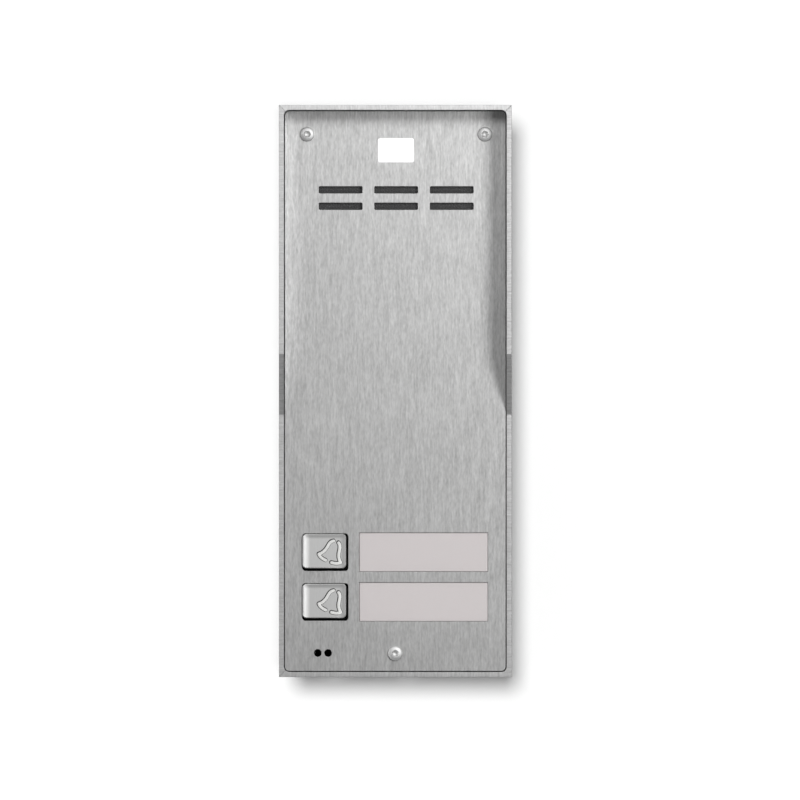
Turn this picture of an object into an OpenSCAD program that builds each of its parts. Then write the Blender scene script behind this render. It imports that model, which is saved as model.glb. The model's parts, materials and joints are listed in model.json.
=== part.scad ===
// Surface-mounted door intercom panel with a rain hood, two call buttons and two name windows.
// Millimetres. +Z is up, the front looks towards -Y, and the origin is on the wall face, at the
// middle of the housing. Depths are measured forwards from the wall, so a depth d is at y = -d.

/* [Housing] */
// Width of the housing
body_w = 93.6; // [93:0.2:97]
// Height of the housing
body_h = 230; // [230:1:240]
// Thickness of the housing's steel
wall_t = 2; // [1.8:0.1:2.2]
// Depth of the lower rim, from the wall
base_depth = 28; // [28:0.5:34]
// Depth of the rain hood, from the wall
hood_depth = 48; // [40:1:56]
// Height of the hood's lower corner above the middle
hood_corner_z = 14.8; // [5:0.1:30]
// Height that the hood's sloping edge takes
hood_slope_h = 24.2; // [15:0.1:30]

/* [Faceplate] */
// Thickness of the faceplate
plate_t = 2; // [2:0.1:2.5]
// Gap round the faceplate
plate_gap = 0.4; // [0.4:0.1:0.6]
// Corner radius of the faceplate
plate_r = 1.8; // [1:0.1:2.5]
// Distance that the screws and the slots sit to the right of the middle line
front_shift = 0.35; // [0:0.05:0.4]
// Distance between the upper screws, halved
screw_x = 35.8; // [35:0.1:36]
// Height of the upper screws
screw_top_z = 103.3; // [103:0.1:104]
// Height of the lower screw
screw_low_z = -105.5; // [-106:0.1:-105.4]
// Length of a speaker slot
slot_w = 17.5; // [14:0.1:19]
// Height of a speaker slot
slot_h = 2.8; // [2:0.1:3.2]
// Distance between neighbouring slots in a row
slot_pitch_x = 22.35; // [20:0.05:23]
// Distance between the two rows of slots
slot_pitch_z = 6.6; // [5:0.1:8]
// Height of the middle of the slots, and of the loudspeaker
speaker_z = 77.6; // [77:0.1:78]

/* [Call buttons] */
// Distance of the buttons from the middle line
button_x = -28.15; // [-28.2:0.05:-28]
// Width of a button's aperture
button_w = 18.5; // [17:0.1:18.6]
// Height of a button's aperture
button_h = 15.1; // [14:0.1:15.4]
// Height of the upper button and window
row_top_z = -64.8; // [-65:0.1:-64.6]
// Distance between the two rows
row_pitch = 20; // [20:0.1:20.3]
// Gap between a button and the right edge of its aperture
button_gap_right = 0.85; // [0.6:0.05:0.9]
// Gap between a button and the lower edge of its aperture
button_gap_low = 1.1; // [0.8:0.1:1.2]
// Height of a button above the faceplate
button_proud = 1.6; // [1.4:0.1:2]
// Travel of a button
button_travel = 1.2; // [0.6:0.1:1.2]
// Width of a stroke of the bell
bell_stroke = 1.2; // [0.8:0.1:1.3]
// Gap round a stroke of the bell, where it comes through the button
bell_gap = 0.25; // [0.2:0.05:0.3]

/* [Name windows] */
// Distance of the windows from the middle line
window_x = 11.4; // [11.3:0.1:11.5]
// Width of a window
window_w = 51.8; // [46:0.1:51.8]
// Height of a window
window_h = 15.7; // [12:0.1:15.8]

/* [Hidden] */
$fn = 48;
eps = 0.01;

// Housing
inner_w = body_w - 2 * wall_t;
inner_h = body_h - 2 * wall_t;
inner_r = plate_r + plate_gap;
hood_slope_z = hood_corner_z - hood_slope_h;
mitre = wall_t + inner_r;
fixing_x = 30;
fixing_z = 88;
fixing_r = 2.5;
entry_z = -72;
entry_r = 7;
drain_x = 25;
drain_d = 8;
drain_r = 2;

// Faceplate and what seals it
plate_w = inner_w - 2 * plate_gap;
plate_h = inner_h - 2 * plate_gap;
plate_rear = base_depth - plate_t;
gasket_t = 1.5;
ledge_t = 1.5;
ledge_w = 3.5;
ledge_rear = plate_rear - gasket_t - ledge_t;
gasket_w = 3.2;
gasket_inset = 0.2;
slot_r = 0.5;
mic_holes_x = [-31.15, -27];
mic_hole_r = 1.5;
mic_x = (mic_holes_x[0] + mic_holes_x[1]) / 2;
mic_z = -105.35;
capsule_r = 3;
capsule_h = 2.9;
boot_size = [14, 8];
boot_lip = 0.4;
button_r = 1.3;
rows = [row_top_z, row_top_z - row_pitch];

// Screws, posts and studs, all M3
m3_r = 1.5;
clearance = 0.05;
m3_hole_r = 1.7;
post_r = 3.25;
post_spigot_r = 2.5;
screw_head_r = 2.85;
screw_head_h = 1.65;
screw_reach = 8;
socket_af = 2;
socket_depth = 1;
nut_af = 5.5;
nut_h = 2.4;
screw_places = [[front_shift - screw_x, screw_top_z], [front_shift + screw_x, screw_top_z],
    [front_shift, screw_low_z]];

// Loudspeaker, 57 mm across
cloth_t = 0.4;
cloth_w = 68;
cloth_h = 16;
seal_t = 2.4;
seal_lap = 2;
seal_hole_r = 25;
seal_d = plate_rear - seal_t;
rim_r = 28.5;
rim_t = 1.2;
rim_rear = seal_d - rim_t;
surround_d = seal_d - 0.6;
magnet_r = 18;
magnet_h = 6;
basket_floor_d = 13.5;
basket_floor_r = 16;
basket_top_r = rim_r - 2.5;
basket_hole_r = 8.2;
basket_web = 10;
basket_wall = 0.8;
basket_sheet = 1;
cone_r = 22.6;
surround_r = 26.6;
cone_t = 0.5;
coil_r = 7.2;
coil_wall = 0.6;
coil_reach = 3;
coil_front = basket_floor_d + 4.5;
dome_r = 12;
dome_h = 2.7;
dome_t = 0.4;
pole_r = 6;
magnet_hole_r = 8.4;
yoke_t = 2.5;
tag_x = 12;
tag_drop = 25.6;
tag_w = 10;
tag_h = 4.6;
tag_t = 2;
tag_gap = 0.1;
clamp_reach = 32.5;
clamp_angles = [45, 135, 225, 315];
clamp_w = 8;
clamp_t = 1;
clamp_toe = 26.05;
clamp_heel = 36;
heel_t = 1.5;

// Boards, each 1.6 thick, behind the faceplate
board_t = 1.6;
board_front = plate_rear - 7;
board_rear = board_front - board_t;
switch_board_x = 39;
switch_board_z = [-101, -48.5];
switch_studs = [[-36, -51], [36, -51], [-36, -98.5], [36, -98.5]];
main_board_x = 38;
main_board_z = [-46, 42];
main_studs = [[-34, 38], [34, 38], [-34, -42], [34, -42]];
thread_over = 0.6;
stud_tip = board_rear - nut_h - thread_over;
spacer_r = 2.75;

// Call button and key switch. A button sits up and to the left in its aperture.
button_gap_left = 0.15;
button_gap_top = 0.2;
button_shift = [(button_gap_left - button_gap_right) / 2, (button_gap_low - button_gap_top) / 2];
cap_w = button_w - button_gap_left - button_gap_right;
cap_h = button_h - button_gap_top - button_gap_low;
cap_r = 1.5;
cap_edge = 0.5;
cap_front = base_depth + button_proud;
cap_wall = 1;
flange_w = button_w + 2;
flange_h = button_h + 2;
flange_t = 1;
flange_front = plate_rear - 0.05;
insert_gap = 0.1;
insert_front = cap_front - cap_wall - 0.05;
insert_rear = plate_rear + 0.2;
bell_recess = 0.3;
stem_r = 1.9;
key_body = 6.2;
key_h = 3.2;
plunger_r = 1.6;
plunger_front = 24;
plunger_gap = 0.05;
plunger_rear = board_front + 0.4;
guide_wall = 1.5;
pocket_slack = 0.4;
pocket_w = flange_w + 2 * abs(button_shift[0]) + pocket_slack;
pocket_h = flange_h + 2 * abs(button_shift[1]) + pocket_slack;
spring_r = 5;
spring_wire = 0.5;
spring_turns = 5;
spring_rings = 8;
spring_sides = 6;

// Bell: one side from its crown to its lip, then in along its mouth, in the bell's own frame.
// The insert sags a little in the button, which leaves more gap above the bell and left of it.
bell_tilt = 21;
bell_mouth = [1.78, -2.6] - button_shift;
bell_side = [[1.05, 7.25], [3.4, 6], [1.45, 2.6], [4.7, 0.15]];
bell_lip = [[4.7, 0.15], [4.2, -0.6], [2.7, -1.15], [1.25, -1.2]];
bell_sag = [-0.1, 0.1];
bell_steps = 10;

// Name windows
lens_gap = 0.1;
lens_recess = 0.4;
lens_flange_w = window_w + 1.8;
lens_flange_h = window_h + 2.8;
lens_flange_t = 1;
card_t = 0.3;
card_rear = plate_rear - lens_flange_t - card_t;
box_wall = 1.4;
chamber_w = 50.5;
chamber_h = 15.4;
led_spread = [-16, 0, 16];
led_w = 2.8;

// Cables
grommet_bore_r = 4;
grommet_collar_r = 6;
grommet_flange_r = 9;
grommet_neck = 1.5;
grommet_collar = 4.5;
wire_r = 0.6;
wire_sides = 8;
wire_steps = 5;
speaker_wire = [[12, 51, 20.25], [12, 51, 18], [9, 48.5, 14.6], [4, 45, 13], [0, 41, 13.5],
    [0, 38.1, 13.5]];
mic_wire = [[0, -105.35, 18.85], [0, -105.35, 17], [1, -103.4, 14.6], [2, -100.9, 13.5],
    [3, -98.4, 13.5], [3, -95.9, 13.5]];
wire_pitch = 2.5;
ribbon_x = 16;
ribbon_w = 14;
ribbon_t = 0.8;
ribbon_lift = 1.2;

// ---- Helpers ----------------------------------------------------------------------------

// Extrudes a drawing of the front view forwards, from depth d, by t.
module slab(d, t) {
    translate([0, -d, 0]) rotate([90, 0, 0]) linear_extrude(t) children();
}

// A round bar along the depth, at a place of the front view.
module bar(place, r, d, t) {
    translate([place[0], -d, place[1]]) rotate([90, 0, 0]) cylinder(r = r, h = t);
}

// A block centred on a place of the front view.
module block(place, size, d, t) {
    slab(d, t) translate(place) square(size, center = true);
}

// A rectangle with round corners, centred.
module round_rect(size, r) {
    square([size[0] - 2 * r, size[1]], center = true);
    square([size[0], size[1] - 2 * r], center = true);
    for (x = [-1, 1], y = [-1, 1])
        translate([x * (size[0] / 2 - r), y * (size[1] / 2 - r)]) circle(r);
}

// A hexagon across flats af.
module hexagon(af) {
    circle(r = af / (2 * cos(30)), $fn = 6);
}

function bezier(p, t) = pow(1 - t, 3) * p[0] + 3 * t * pow(1 - t, 2) * p[1]
    + 3 * t * t * (1 - t) * p[2] + pow(t, 3) * p[3];

// A point of a smooth curve through a list of points, on the stretch after point i.
function at_or_end(p, i) = p[max(0, min(len(p) - 1, i))];
function through(p, i, t) = let (a = at_or_end(p, i - 1), b = p[i], c = at_or_end(p, i + 1),
    d = at_or_end(p, i + 2)) 0.5 * (2 * b + (c - a) * t + (2 * a - 5 * b + 4 * c - d) * t * t
    + (3 * b - a - 3 * c + d) * pow(t, 3));
function smooth_path(p, steps) = [for (i = [0 : len(p) - 2], s = [0 : steps - 1])
    through(p, i, s / steps), p[len(p) - 1]];

function unit(v) = v / norm(v);

// The direction of a path at point i.
function heading(p, i) = unit(at_or_end(p, i + 1) - at_or_end(p, i - 1));

// A tube of triangles over rings of points, each ring with the same number of sides.
module skin(rings, sides) {
    last = (len(rings) - 1) * sides;
    polyhedron(
        points = [for (ring = rings, p = ring) p],
        faces = [
            for (k = [1 : sides - 2]) [0, k, k + 1],
            for (k = [1 : sides - 2]) [last, last + k + 1, last + k],
            for (i = [0 : len(rings) - 2], k = [0 : sides - 1])
                let (a = i * sides + k, b = i * sides + (k + 1) % sides)
                each [[a, a + sides, b + sides], [a, b + sides, b]]
        ]);
}

// A wire along points given as [x, z, depth].
module wire(route) {
    path = smooth_path([for (p = route) [p[0], -p[2], p[1]]], wire_steps);
    skin([for (i = [0 : len(path) - 1])
        let (t = heading(path, i), n = unit(cross(t, [1, 0, 0])), b = cross(t, n))
        [for (k = [0 : wire_sides - 1])
            path[i] + wire_r * (cos(360 * k / wire_sides) * n + sin(360 * k / wire_sides) * b)]],
        wire_sides);
}

// ---- Housing and its seal ---------------------------------------------------------------

// Everything in front of the rim and below the hood's sloping edge, in the side view.
module below_hood() {
    far = hood_depth + 1;
    translate([-body_w / 2 - 1, 0, 0]) rotate([90, 0, 90]) linear_extrude(body_w + 2)
        mirror([1, 0]) polygon([[base_depth, hood_slope_z], [hood_depth, hood_corner_z],
            [far, hood_corner_z], [far, -body_h], [base_depth, -body_h]]);
}

// One of the four steel walls that are mitred and welded at the corners. It is the stretch of
// the wall ring between the given corners of the front view, which are given clockwise.
module wall(corners) {
    outer = [for (c = corners) [c[0] * body_w / 2, c[1] * body_h / 2]];
    color("silver") difference() {
        slab(0, hood_depth) intersection() {
            difference() {
                square([body_w, body_h], center = true);
                round_rect([inner_w, inner_h], inner_r);
            }
            polygon([outer[0], outer[1], outer[1] - mitre * corners[1],
                outer[0] - mitre * corners[0]]);
        }
        below_hood();
    }
}

module back_plate() {
    color("silver") difference() {
        slab(0, wall_t) round_rect([inner_w, inner_h], inner_r);
        for (x = [-1, 1], z = [-1, 1])
            bar([x * fixing_x, z * fixing_z], fixing_r, -1, wall_t + 2);
        bar([0, entry_z], entry_r, -1, wall_t + 2);
        for (p = screw_places) bar(p, post_spigot_r, -1, wall_t + 2);
    }
}

module left_side() {
    wall([[-1, -1], [-1, 1]]);
}

module right_side() {
    wall([[1, 1], [1, -1]]);
}

module hood_top() {
    wall([[-1, 1], [1, 1]]);
}

module bottom_wall() {
    color("silver") difference() {
        wall([[1, -1], [-1, -1]]);
        for (x = [-1, 1])
            translate([x * drain_x, -drain_d, -body_h / 2 - 1])
                cylinder(r = drain_r, h = wall_t + 2);
    }
}

module seal_ledge() {
    color("darkgray") slab(ledge_rear, ledge_t) difference() {
        round_rect([inner_w, inner_h], inner_r);
        square([inner_w - 2 * ledge_w, inner_h - 2 * ledge_w], center = true);
    }
}

module face_gasket() {
    color("dimgray") slab(ledge_rear + ledge_t, gasket_t) difference() {
        round_rect([inner_w - 2 * gasket_inset, inner_h - 2 * gasket_inset], inner_r);
        square([inner_w - 2 * gasket_w, inner_h - 2 * gasket_w], center = true);
    }
}

module panel_posts() {
    color("gainsboro") for (p = screw_places) difference() {
        union() {
            bar(p, post_spigot_r, 0, wall_t + eps);
            bar(p, post_r, wall_t, plate_rear - wall_t);
        }
        bar(p, m3_r + clearance, plate_rear - screw_reach - 1, screw_reach + 2);
    }
}

module cable_grommet() {
    neck_r = entry_r - clearance;
    color("black") difference() {
        union() {
            bar([0, entry_z], neck_r, 0, wall_t + eps);
            bar([0, entry_z], grommet_flange_r, wall_t, grommet_neck);
            bar([0, entry_z], grommet_collar_r, wall_t, grommet_neck + grommet_collar);
        }
        bar([0, entry_z], grommet_bore_r, -1, wall_t + grommet_neck + grommet_collar + 2);
    }
}

// ---- Faceplate --------------------------------------------------------------------------

module slots() {
    for (col = [-1 : 1], row = [-0.5, 0.5])
        translate([front_shift + col * slot_pitch_x, speaker_z + row * slot_pitch_z])
            round_rect([slot_w, slot_h], slot_r);
}

module faceplate() {
    color("lightgray") difference() {
        slab(plate_rear, plate_t) round_rect([plate_w, plate_h], plate_r);
        slab(plate_rear - 1, plate_t + 2) slots();
        for (z = rows) {
            slab(plate_rear - 1, plate_t + 2) translate([button_x, z])
                round_rect([button_w, button_h], button_r);
            block([window_x, z], [window_w, window_h], plate_rear - 1, plate_t + 2);
        }
        for (p = screw_places) bar(p, m3_hole_r, plate_rear - 1, plate_t + 2);
        for (x = mic_holes_x) bar([x, mic_z], mic_hole_r, plate_rear - 1, plate_t + 2);
    }
}

// Button-head screw with a hexagon socket.
module panel_screws() {
    head_sphere_r = (pow(screw_head_r, 2) + pow(screw_head_h, 2)) / (2 * screw_head_h);
    color("whitesmoke") for (p = screw_places) difference() {
        union() {
            bar(p, m3_r, plate_rear - screw_reach, screw_reach + plate_t + eps);
            intersection() {
                bar(p, screw_head_r, base_depth, screw_head_h);
                translate([p[0], -(base_depth + screw_head_h - head_sphere_r), p[1]])
                    sphere(head_sphere_r);
            }
        }
        slab(base_depth + screw_head_h - socket_depth, socket_depth + 1)
            translate(p) hexagon(socket_af);
    }
}

function clamp_place(a) = [clamp_reach * cos(a), speaker_z + clamp_reach * sin(a)];

module faceplate_studs() {
    color("gainsboro") {
        clamp_stud_tip = rim_rear - clamp_t - nut_h - thread_over;
        for (a = clamp_angles)
            bar(clamp_place(a), m3_r, clamp_stud_tip, plate_rear - clamp_stud_tip);
        for (p = concat(switch_studs, main_studs)) bar(p, m3_r, stud_tip, plate_rear - stud_tip);
    }
}

// ---- Loudspeaker ------------------------------------------------------------------------

module grille_cloth() {
    color([0.2, 0.2, 0.2]) block([0, speaker_z], [cloth_w, cloth_h], plate_rear - cloth_t, cloth_t);
}

module speaker_seal() {
    color("dimgray") difference() {
        slab(seal_d, seal_t) translate([0, speaker_z]) {
            circle(rim_r + 1);
            square([cloth_w + 2 * seal_lap, cloth_h + 4 * seal_lap], center = true);
        }
        slab(seal_d - 1, seal_t + 2) translate([0, speaker_z]) {
            circle(seal_hole_r);
            square([cloth_w - 2 * seal_lap, cloth_h - seal_lap], center = true);
        }
        block([0, speaker_z], [cloth_w, cloth_h], plate_rear - cloth_t, 1);
    }
}

// Turns a profile of [radius, depth] points round the loudspeaker's axis.
module speaker_turn(profile) {
    translate([0, 0, speaker_z]) rotate([90, 0, 0]) rotate_extrude() polygon(profile);
}

module speaker_basket() {
    color("slategray") difference() {
        speaker_turn([[basket_hole_r, basket_floor_d], [basket_floor_r, basket_floor_d],
            [basket_top_r, rim_rear], [rim_r, rim_rear], [rim_r, seal_d],
            [surround_r + clearance, seal_d], [surround_r + clearance, surround_d],
            [surround_r - 2, surround_d],
            [basket_floor_r - basket_wall, basket_floor_d + basket_sheet],
            [basket_hole_r, basket_floor_d + basket_sheet]]);
        for (a = [0, 90])
            translate([0, -(basket_floor_d + 2 * basket_sheet), speaker_z]) rotate([90, a, 0])
                translate([-rim_r, -basket_web / 2, 0])
                    cube([2 * rim_r, basket_web, rim_rear - basket_floor_d - 3 * basket_sheet]);
    }
}

module speaker_magnet() {
    rear = basket_floor_d - magnet_h;
    color([0.22, 0.22, 0.23]) speaker_turn([[magnet_hole_r, rear], [magnet_r, rear],
        [magnet_r, basket_floor_d], [magnet_hole_r, basket_floor_d]]);
}

module speaker_yoke() {
    rear = basket_floor_d - magnet_h;
    color("darkgray") speaker_turn([[0, rear - yoke_t], [magnet_r - 1, rear - yoke_t],
        [magnet_r - 1, rear], [pole_r, rear], [pole_r, basket_floor_d + basket_sheet],
        [0, basket_floor_d + basket_sheet]]);
}

module speaker_voice_coil() {
    rear = basket_floor_d - coil_reach;
    color("peru") speaker_turn([[coil_r - coil_wall, rear], [coil_r, rear],
        [coil_r, coil_front], [coil_r - coil_wall, coil_front]]);
}

// Paper cone, with its surround resting on the step in the basket's rim.
module speaker_cone() {
    low = basket_floor_d + coil_reach;
    edge = surround_d - 1.7;
    color([0.12, 0.12, 0.12]) speaker_turn([[coil_r, low], [cone_r, edge],
        [cone_r + 1.6, surround_d], [surround_r, surround_d], [surround_r, surround_d + cone_t],
        [cone_r + 1.4, surround_d + cone_t], [cone_r - 0.3, edge + cone_t],
        [coil_r, low + cone_t]]);
}

module speaker_dust_cap() {
    color([0.1, 0.1, 0.1]) intersection() {
        translate([0, -(coil_front + dome_h - dome_r), speaker_z]) difference() {
            sphere(dome_r);
            sphere(dome_r - dome_t);
        }
        bar([0, speaker_z], coil_r, coil_front, 2 * dome_h);
    }
}

// Tag strip behind the basket's rim, where the leads are soldered.
module speaker_terminal() {
    color("tan") difference() {
        block([tag_x, speaker_z - tag_drop], [tag_w, tag_h], rim_rear - tag_t, tag_t);
        speaker_turn([[0, basket_floor_d], [basket_floor_r + tag_gap, basket_floor_d],
            [basket_top_r + tag_gap, rim_rear], [basket_top_r + tag_gap, seal_d], [0, seal_d]]);
    }
}

module speaker_clamps() {
    color("silver") for (a = clamp_angles) difference() {
        translate([0, 0, speaker_z]) rotate([0, -a, 0]) union() {
            translate([clamp_toe, -rim_rear, -clamp_w / 2])
                cube([clamp_heel - clamp_toe, clamp_t, clamp_w]);
            translate([clamp_heel - heel_t, -plate_rear, -clamp_w / 2])
                cube([heel_t, plate_rear - rim_rear + clamp_t, clamp_w]);
        }
        bar(clamp_place(a), m3_hole_r, rim_rear - clamp_t - 1, clamp_t + 2);
    }
}

// A hexagon nut on a stud, at depth d.
module nut(place, d) {
    slab(d, nut_h) translate(place) difference() {
        hexagon(nut_af);
        circle(m3_r + clearance);
    }
}

module speaker_clamp_nuts() {
    color("gainsboro") for (a = clamp_angles) nut(clamp_place(a), rim_rear - clamp_t - nut_h);
}

module speaker_leads() {
    color("firebrick") for (side = [-0.5, 0.5])
        wire([for (p = speaker_wire) p + [side * wire_pitch, 0, 0]]);
}

// ---- Microphone -------------------------------------------------------------------------

module microphone_boot() {
    color("black") difference() {
        slab(board_front - boot_lip, plate_rear - board_front + boot_lip)
            translate([mic_x, mic_z]) round_rect(boot_size, 2);
        bar([mic_x, mic_z], capsule_r + clearance, board_front - 1, capsule_h + 1.1);
        slab(board_front + capsule_h, plate_rear - board_front) translate([mic_x, mic_z])
            round_rect([8, 4], mic_hole_r);
    }
}

module microphone_capsule() {
    color("silver") bar([mic_x, mic_z], capsule_r, board_front, capsule_h);
}

module microphone_leads() {
    color("royalblue") for (side = [-0.5, 0.5])
        wire([for (p = mic_wire) p + [mic_x + side * wire_pitch, 0, 0]]);
}

// ---- Call buttons -----------------------------------------------------------------------

// The round edge at the front of a block that reaches r sideways and t forwards.
function edge_arc(r, t, edge) = [for (a = [0 : 22.5 : 90])
    [r - edge + edge * cos(a), t - edge + edge * sin(a)]];

// The front outline of a block's cross-section, from one side to the other.
function arch(r, t, edge) = concat([[r, 0]], edge_arc(r, t, edge),
    [for (a = [90 : -22.5 : 0]) [-r + edge - edge * cos(a), t - edge + edge * sin(a)]], [[-r, 0]]);

// A block with round corners and round front edges.
module pillow(size, r, edge, d, t) {
    span = [size[0] - 2 * r, size[1] - 2 * r];
    translate([-span[0] / 2, 0, 0]) rotate([90, 0, 90]) linear_extrude(span[0])
        polygon([for (p = arch(size[1] / 2, t, edge)) [-d - p[1], p[0]]]);
    translate([0, 0, -span[1] / 2]) linear_extrude(span[1])
        polygon([for (p = arch(size[0] / 2, t, edge)) [p[0], -d - p[1]]]);
    for (x = [-0.5, 0.5], z = [-0.5, 0.5])
        translate([x * span[0], -d, z * span[1]]) rotate([90, 0, 0]) rotate_extrude()
            polygon(concat([[0, 0], [r, 0]], edge_arc(r, t, edge), [[0, t]]));
}

// The two strokes of a leaning bell, grown by the given amount on each side.
module bell(grow) {
    line = concat([for (i = [0 : bell_steps]) bezier(bell_side, i / bell_steps)],
        [for (i = [1 : bell_steps]) bezier(bell_lip, i / bell_steps)]);
    back = [for (i = [len(line) - 1 : -1 : 0]) line[i] + [eps, eps]];
    translate(bell_mouth) rotate(-bell_tilt) for (side = [0, 1]) mirror([side, 0])
        offset(r = bell_stroke / 2 + grow, $fn = 20) polygon(concat(line, back));
}

module at_button(z) {
    translate([button_x + button_shift[0], 0, z + button_shift[1]]) children();
}

module call_button(z) {
    flange_rear = flange_front - flange_t;
    color("silver") at_button(z) difference() {
        union() {
            pillow([cap_w, cap_h], cap_r, cap_edge, flange_rear, cap_front - flange_rear);
            slab(flange_rear, flange_t) round_rect([flange_w, flange_h], button_r);
        }
        slab(flange_rear - 1, cap_front - cap_wall - flange_rear + 1)
            square([cap_w - 2 * cap_wall, cap_h - 2 * cap_wall], center = true);
        slab(cap_front - cap_wall - 1, cap_wall + 2) translate(bell_sag) bell(bell_gap);
    }
}

// Translucent insert behind the bell, with the stem that works the key switch.
module bell_insert(z) {
    color("white") at_button(z) {
        slab(insert_rear, insert_front - insert_rear)
            square([cap_w - 2 * cap_wall - 2 * insert_gap, cap_h - 2 * cap_wall - 2 * insert_gap],
                center = true);
        slab(insert_front - eps, cap_front - bell_recess - insert_front) bell(0);
        bar([0, 0], stem_r, plunger_front + plunger_gap,
            insert_rear - plunger_front - plunger_gap + eps);
    }
}

// A compression spring between the switch board and the insert.
module button_spring(z) {
    low = board_front + spring_wire / 2 + 0.02;
    high = insert_rear - spring_wire / 2 - 0.02;
    count = spring_turns * spring_rings;
    color("lightsteelblue") at_button(z) skin([for (i = [0 : count])
        let (a = 360 * i / spring_rings, d = low + (high - low) * i / count)
        [for (k = [0 : spring_sides - 1])
            let (b = 360 * k / spring_sides, r = spring_r + spring_wire / 2 * cos(b))
            [r * cos(a), -d - spring_wire / 2 * sin(b), r * sin(a)]]], spring_sides);
}

module key_plunger(z) {
    color("ivory") at_button(z) bar([0, 0], plunger_r, plunger_rear + button_travel,
        plunger_front - plunger_rear - button_travel);
}

module key_switch_bodies() {
    color([0.15, 0.15, 0.15]) for (z = rows) at_button(z) difference() {
        block([0, 0], [key_body, key_body], board_front, key_h);
        bar([0, 0], plunger_r + clearance, plunger_rear - 0.05, key_h);
    }
}

module button_guide() {
    top = rows[0] + pocket_h / 2 + guide_wall;
    low = rows[1] - pocket_h / 2 - guide_wall;
    color([0.13, 0.13, 0.14]) slab(board_front, plate_rear - board_front) difference() {
        translate([button_x, (top + low) / 2])
            round_rect([pocket_w + 2 * guide_wall, top - low], 2);
        for (z = rows) translate([button_x, z]) square([pocket_w, pocket_h], center = true);
    }
}

// ---- Name windows -----------------------------------------------------------------------

module window_lens(z) {
    flange_d = plate_rear - lens_flange_t;
    color([0.9, 0.9, 0.92]) {
        block([window_x, z], [window_w - 2 * lens_gap, window_h - 2 * lens_gap], flange_d,
            base_depth - lens_recess - flange_d);
        block([window_x, z], [lens_flange_w, lens_flange_h], flange_d, lens_flange_t);
    }
}

module name_card(z) {
    color([0.8, 0.78, 0.78]) block([window_x, z], [lens_flange_w - 0.4, lens_flange_h - 0.6],
        card_rear, card_t);
}

module light_box() {
    top = rows[0] + chamber_h / 2 + box_wall;
    low = rows[1] - chamber_h / 2 - box_wall;
    color("white") slab(board_front, card_rear - board_front) difference() {
        translate([window_x, (top + low) / 2])
            square([chamber_w + 2 * box_wall, top - low], center = true);
        for (z = rows) translate([window_x, z]) square([chamber_w, chamber_h], center = true);
    }
}

// ---- Boards -----------------------------------------------------------------------------

module board(half_w, span_z, studs) {
    slab(board_rear, board_t) difference() {
        translate([-half_w, span_z[0]]) square([2 * half_w, span_z[1] - span_z[0]]);
        for (p = studs) translate(p) circle(m3_hole_r);
    }
}

module switch_board() {
    color("seagreen") board(switch_board_x, switch_board_z, switch_studs);
}

module main_board() {
    color("seagreen") board(main_board_x, main_board_z, main_studs);
}

// One lamp beside each bell, and three behind each name window.
module backlight_leds() {
    color("lemonchiffon") for (z = rows) {
        block([button_x + 7.2, z], [1.6, led_w], board_front, 1.2);
        for (x = led_spread) block([window_x + x, z], [3.5, led_w], board_front, 1.9);
    }
}

module board_spacers() {
    color("gold") for (p = concat(switch_studs, main_studs)) difference() {
        bar(p, spacer_r, board_front, plate_rear - board_front);
        bar(p, m3_r + clearance, board_front - 1, plate_rear - board_front + 2);
    }
}

module board_nuts() {
    color("gainsboro") for (p = concat(switch_studs, main_studs)) nut(p, board_rear - nut_h);
}

poles = 6;
pole_pitch = 5;
pole_screw_r = 1.8;
pole_mouth = 3.2;
block_z = [-44.5, -36];
block_h = 10;

function pole_x(i) = (i - (poles - 1) / 2) * pole_pitch;

module terminal_block() {
    mid_z = (block_z[0] + block_z[1]) / 2;
    color("darkgreen") difference() {
        block([0, mid_z], [poles * pole_pitch, block_z[1] - block_z[0]], board_rear - block_h,
            block_h);
        for (i = [0 : poles - 1]) {
            bar([pole_x(i), mid_z + 1], pole_screw_r + 0.15, board_rear - block_h - 1, 5);
            translate([pole_x(i) - pole_mouth / 2, -(board_rear - 3), block_z[0] - 1])
                cube([pole_mouth, 3.6, 5.5]);
        }
    }
}

module terminal_screws() {
    mid_z = (block_z[0] + block_z[1]) / 2;
    color("silver") for (i = [0 : poles - 1]) difference() {
        bar([pole_x(i), mid_z + 1], pole_screw_r, board_rear - block_h + 2, 2);
        block([pole_x(i), mid_z + 1], [pole_pitch, 0.6], board_rear - block_h + 1, pole_screw_r);
    }
}

// Radial capacitors: place, radius and height.
cap_list = [[[-24, -22], 5, 11], [[24, -20], 5, 11], [[-14, -24], 3.15, 8], [[15, -22], 3.15, 8]];

module capacitors() {
    color("navy") for (c = cap_list) bar(c[0], c[1], board_rear - c[2], c[2]);
}

module line_transformer() {
    place = [22, 14];
    color("saddlebrown") {
        block(place, [22, 14], board_rear - 12, 12);
        block(place, [14, 19], board_rear - 10.5, 9);
    }
}

// Integrated circuits: place, size and height.
chip_list = [[[-6, 8], [9.9, 6.4], 3.3], [[-6, -8], [7, 7], 1.2], [[8, -8], [5, 4.4], 1.5]];

module board_chips() {
    color([0.1, 0.1, 0.1]) for (c = chip_list) block(c[0], c[1], board_rear - c[2], c[2]);
}

trimmer_x = -28;
volume_z = 22;
microphone_z = 8;
trimmer_body = 9.6;
trimmer_h = 4.6;
rotor_r = 3.2;
rotor_h = 2.4;
rotor_proud = 0.6;
slot_l = 4.6;
slot_t = 0.9;

module trimmer_bodies() {
    color("royalblue") for (z = [volume_z, microphone_z]) difference() {
        block([trimmer_x, z], [trimmer_body, trimmer_body], board_rear - trimmer_h, trimmer_h);
        bar([trimmer_x, z], rotor_r + clearance, board_rear - trimmer_h - 1,
            rotor_h - rotor_proud + 1 + clearance);
    }
}

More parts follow.
